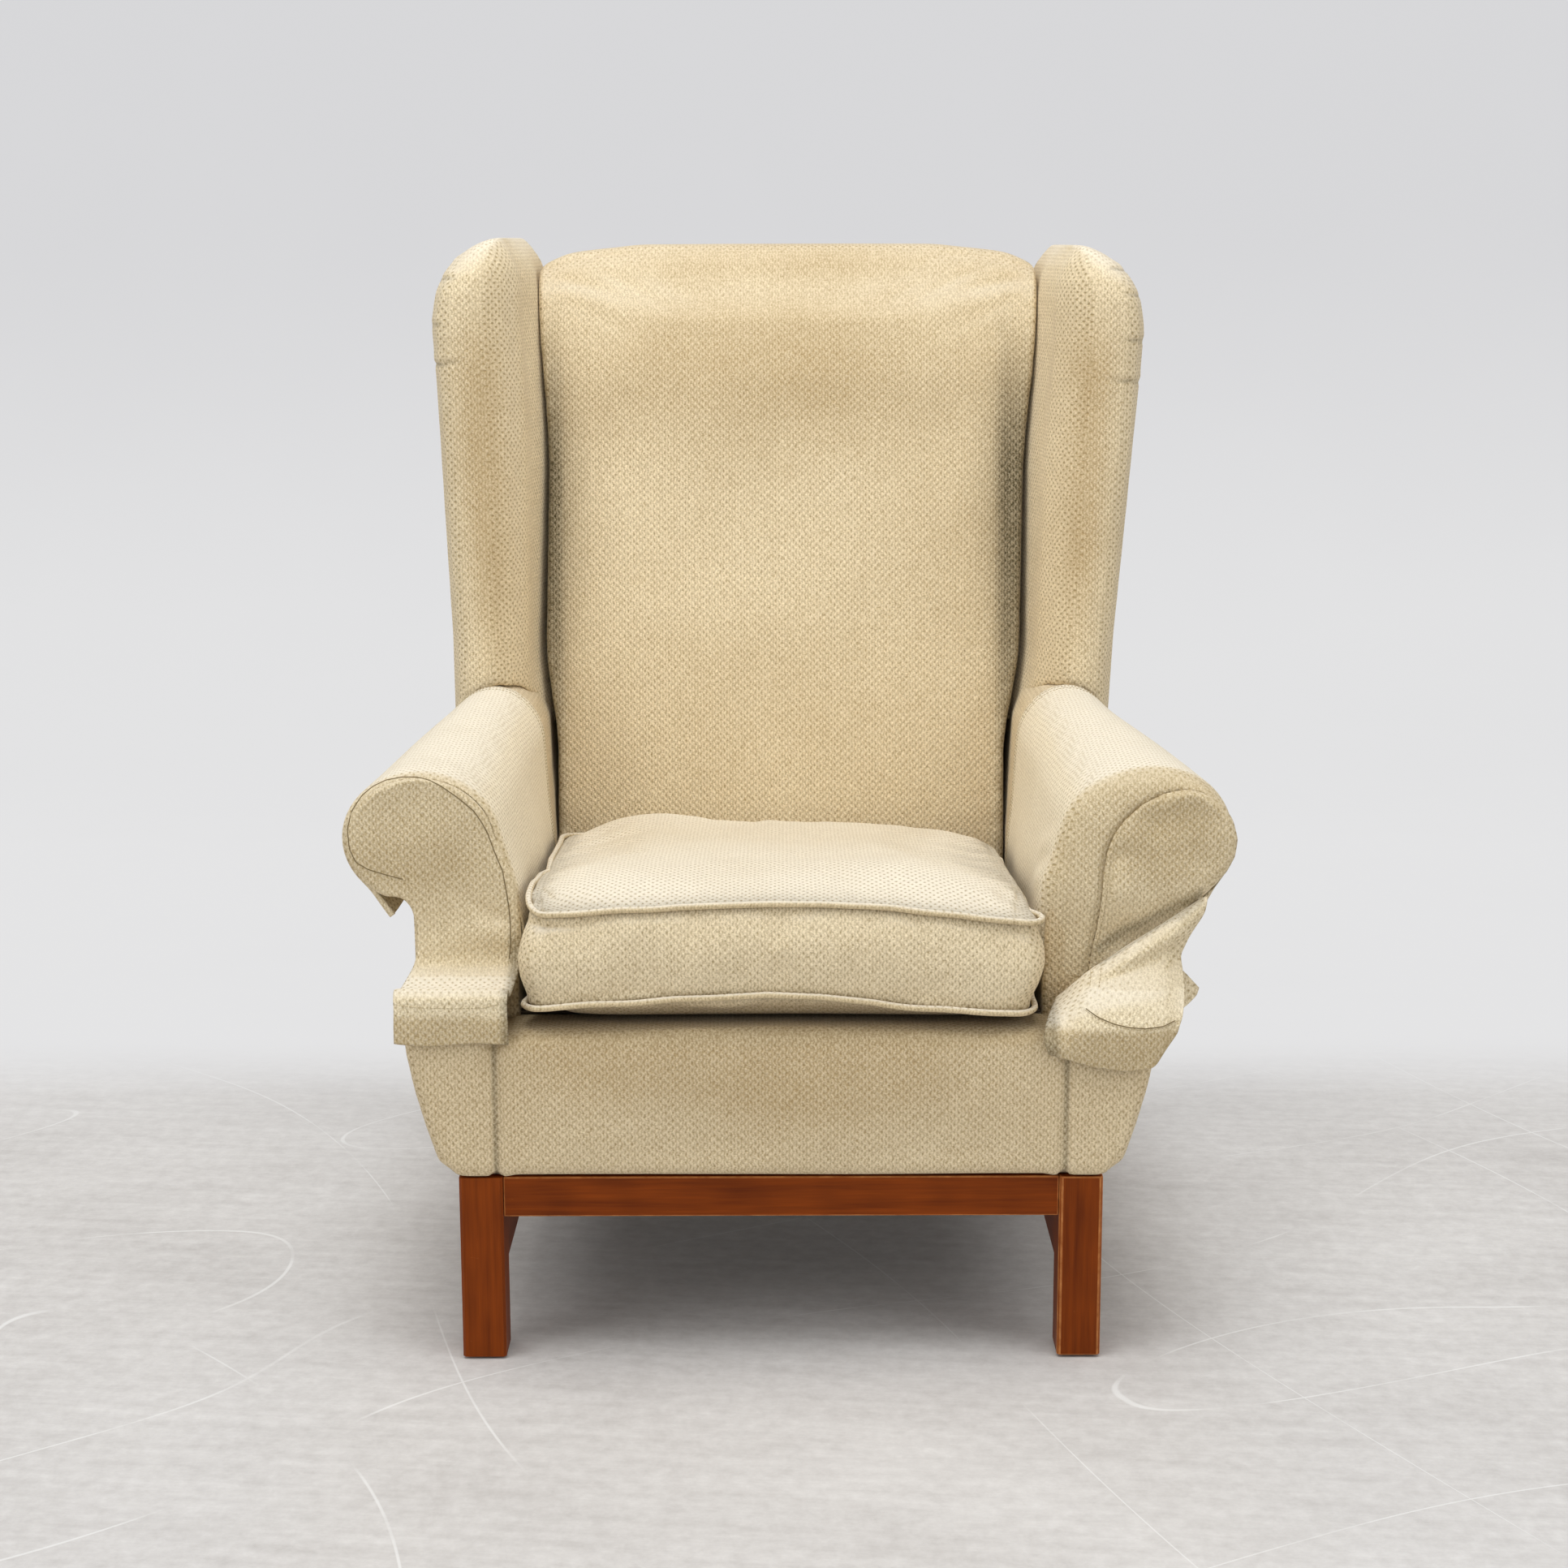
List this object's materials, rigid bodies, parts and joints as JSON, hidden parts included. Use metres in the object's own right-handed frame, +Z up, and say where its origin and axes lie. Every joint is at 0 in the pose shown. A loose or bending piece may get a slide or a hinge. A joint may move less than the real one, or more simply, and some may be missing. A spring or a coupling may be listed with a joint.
{
  "type": "wingback armchair",
  "caption": "Wingback armchair with scroll arms, loose boxed seat cushion, loose arm covers and a square-legged beech underframe",
  "frame": {"origin": "on the floor, under the middle of the chair's box", "axes": "+X to the right as seen from the front, +Y to the back, +Z up"},
  "size_m": [0.832, 0.795, 1.0426],
  "materials": {
    "beech": "stained, satin varnish, worn edges",
    "frame_wood": "sawn, bare",
    "spring_steel": "drawn wire",
    "foam": "cut foam and fibre",
    "cloth": "cream-beige chenille weave, worn",
    "cushion_cloth": "cream-beige chenille weave, worn",
    "arm_cover_cloth": "cream-beige chenille weave, worn",
    "lining": "black non-woven",
    "webbing": "elastic webbing",
    "zip_tape": "woven tape"
  },
  "bodies": {
    "chair_body": {"leg_front_left": "beech", "leg_front_right": "beech", "leg_rear_left": "beech", "leg_rear_right": "beech", "base_rail_front": "beech", "base_rail_rear": "beech", "base_stretcher_left": "beech", "base_stretcher_right": "beech", "seat_rail_front": "frame_wood", "seat_rail_rear": "frame_wood", "seat_rail_left": "frame_wood", "seat_rail_right": "frame_wood", "corner_block_front_left": "frame_wood", "corner_block_front_right": "frame_wood", "corner_block_rear_left": "frame_wood", "corner_block_rear_right": "frame_wood", "back_post_left": "frame_wood", "back_post_right": "frame_wood", "back_rail_top": "frame_wood", "back_rail_lower": "frame_wood", "arm_front_board_left": "frame_wood", "arm_front_board_right": "frame_wood", "arm_board_left": "frame_wood", "arm_board_right": "frame_wood", "wing_board_left": "frame_wood", "wing_board_right": "frame_wood", "seat_spring_1": "spring_steel", "seat_spring_2": "spring_steel", "seat_spring_3": "spring_steel", "seat_spring_4": "spring_steel", "seat_spring_5": "spring_steel", "deck_pad": "foam", "front_border_pad": "foam", "back_foam": "foam", "arm_padding_left": "foam", "arm_padding_right": "foam", "wing_padding_left": "foam", "wing_padding_right": "foam", "deck_cloth": "cloth", "front_border_cover": "cloth", "back_cover_inside": "cloth", "back_cover_outside": "cloth", "arm_upholstery_left": "cloth", "arm_upholstery_right": "cloth", "side_panel_left": "cloth", "side_panel_right": "cloth", "wing_cover_left": "cloth", "wing_cover_right": "cloth", "dust_cover": "lining", "back_web_left": "webbing", "back_web_right": "webbing"},
    "seat_cushion": {"cushion_case": "cushion_cloth", "cushion_core": "foam", "cushion_zip": "zip_tape", "cushion_welt_top": "cushion_cloth", "cushion_welt_bottom": "cushion_cloth"},
    "arm_cover_left": {"arm_cap_left": "arm_cover_cloth"},
    "arm_cover_right": {"arm_cap_right": "arm_cover_cloth"}
  },
  "joints": [
    {"name": "cushion_lift", "type": "slide", "parent": "chair_body", "child": "seat_cushion", "axis": [0, 0, 1], "range_m": [0, 0.35]},
    {"name": "arm_cover_left_lift", "type": "slide", "parent": "chair_body", "child": "arm_cover_left", "axis": [0, 0, 1], "range_m": [0, 0.28]},
    {"name": "arm_cover_right_lift", "type": "slide", "parent": "chair_body", "child": "arm_cover_right", "axis": [0, 0, 1], "range_m": [0, 0.28]}
  ]
}
